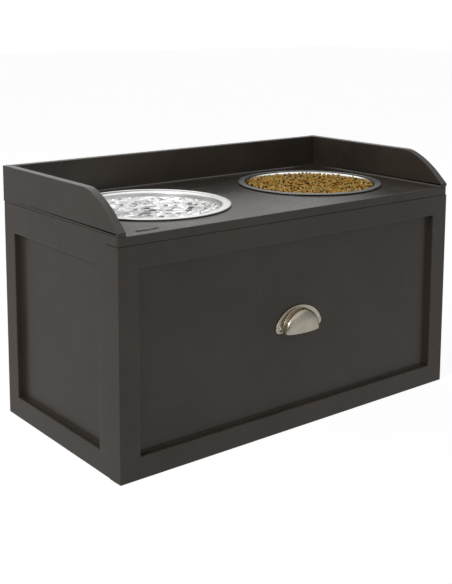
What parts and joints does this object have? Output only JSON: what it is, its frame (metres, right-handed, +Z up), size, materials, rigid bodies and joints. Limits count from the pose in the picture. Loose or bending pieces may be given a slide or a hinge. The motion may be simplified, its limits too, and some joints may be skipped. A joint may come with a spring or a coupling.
{
  "type": "elevated dog feeder with storage",
  "caption": "Raised pet feeding cabinet: lift-out steel bowls sunk in a top board with a curved gallery, over a full-width storage drawer with a cup pull.",
  "frame": {"origin": "centre of the footprint of the cabinet, on the floor, not counting the cup pull", "axes": "+Z up, -Y towards the front where the drawer opens, +X to the right seen from the front"},
  "size_m": [0.6, 0.3096, 0.363],
  "materials": {
    "painted_board": "semi-gloss paint",
    "inner_board": "matt foil",
    "bowl_steel": "polished",
    "satin_nickel": "satin",
    "zinc": "plated",
    "enamelled_steel": "powder coat",
    "nylon": "moulded",
    "beech": "bare",
    "clear_rubber": "soft",
    "kibble": "dry food",
    "water": "clear"
  },
  "bodies": {
    "cabinet": {"bottom_panel": "inner_board", "side_board_left": "inner_board", "side_board_right": "inner_board", "side_frame_left": "painted_board", "side_frame_right": "painted_board", "back_panel": "inner_board", "front_rail": "inner_board", "top_board": "painted_board", "gallery_back": "painted_board", "gallery_side_left": "painted_board", "gallery_side_right": "painted_board", "cabinet_cams": "zinc", "cabinet_cam_bolts": "zinc", "cabinet_dowels": "beech", "gallery_screws": "zinc", "runner_cabinet_left": "enamelled_steel", "runner_cabinet_right": "enamelled_steel", "runner_cabinet_screws": "zinc", "front_roller_rivets": "zinc"},
    "drawer": {"drawer_front_board": "painted_board", "drawer_front_frame": "painted_board", "drawer_side_left": "inner_board", "drawer_side_right": "inner_board", "drawer_back": "inner_board", "drawer_bottom": "inner_board", "drawer_cams": "zinc", "drawer_cam_bolts": "zinc", "drawer_screws": "zinc", "drawer_bumpers": "clear_rubber", "runner_drawer_left": "enamelled_steel", "runner_drawer_right": "enamelled_steel", "runner_drawer_screws": "zinc", "rear_roller_rivets": "zinc", "cup_pull": "satin_nickel", "pull_screws": "satin_nickel"},
    "bowl_left": {"bowl_left": "bowl_steel"},
    "bowl_right": {"bowl_right": "bowl_steel"},
    "front_roller_left": {"front_roller_left": "nylon"},
    "front_roller_right": {"front_roller_right": "nylon"},
    "rear_roller_left": {"rear_roller_left": "nylon"},
    "rear_roller_right": {"rear_roller_right": "nylon"}
  },
  "joints": [
    {"name": "drawer_slide", "type": "slide", "parent": "cabinet", "child": "drawer", "axis": [0, -1, 0], "range_m": [0, 0.19]},
    {"name": "bowl_left_lift", "type": "slide", "parent": "cabinet", "child": "bowl_left", "axis": [0, 0, 1], "range_m": [0, 0.09]},
    {"name": "bowl_right_lift", "type": "slide", "parent": "cabinet", "child": "bowl_right", "axis": [0, 0, 1], "range_m": [0, 0.09]},
    {"name": "front_roller_left_spin", "type": "hinge", "parent": "cabinet", "child": "front_roller_left", "pos_m": [-0.26915, -0.111, 0.0408], "axis": [1, 0, 0], "range_deg": [-2, 1453.5]},
    {"name": "front_roller_right_spin", "type": "hinge", "parent": "cabinet", "child": "front_roller_right", "pos_m": [0.26915, -0.111, 0.0408], "axis": [1, 0, 0], "range_deg": [-2, 1453.5]},
    {"name": "rear_roller_left_spin", "type": "hinge", "parent": "drawer", "child": "rear_roller_left", "pos_m": [-0.26635, 0.11, 0.0407], "axis": [1, 0, 0], "range_deg": [-2, 1185.3]},
    {"name": "rear_roller_right_spin", "type": "hinge", "parent": "drawer", "child": "rear_roller_right", "pos_m": [0.26635, 0.11, 0.0407], "axis": [1, 0, 0], "range_deg": [-2, 1185.3]}
  ],
  "couplings": [
    {"joint": "front_roller_left_spin", "follows": "drawer_slide", "rad_per_m": 133.33},
    {"joint": "front_roller_right_spin", "follows": "drawer_slide", "rad_per_m": 133.33},
    {"joint": "rear_roller_left_spin", "follows": "drawer_slide", "rad_per_m": 108.7},
    {"joint": "rear_roller_right_spin", "follows": "drawer_slide", "rad_per_m": 108.7}
  ]
}
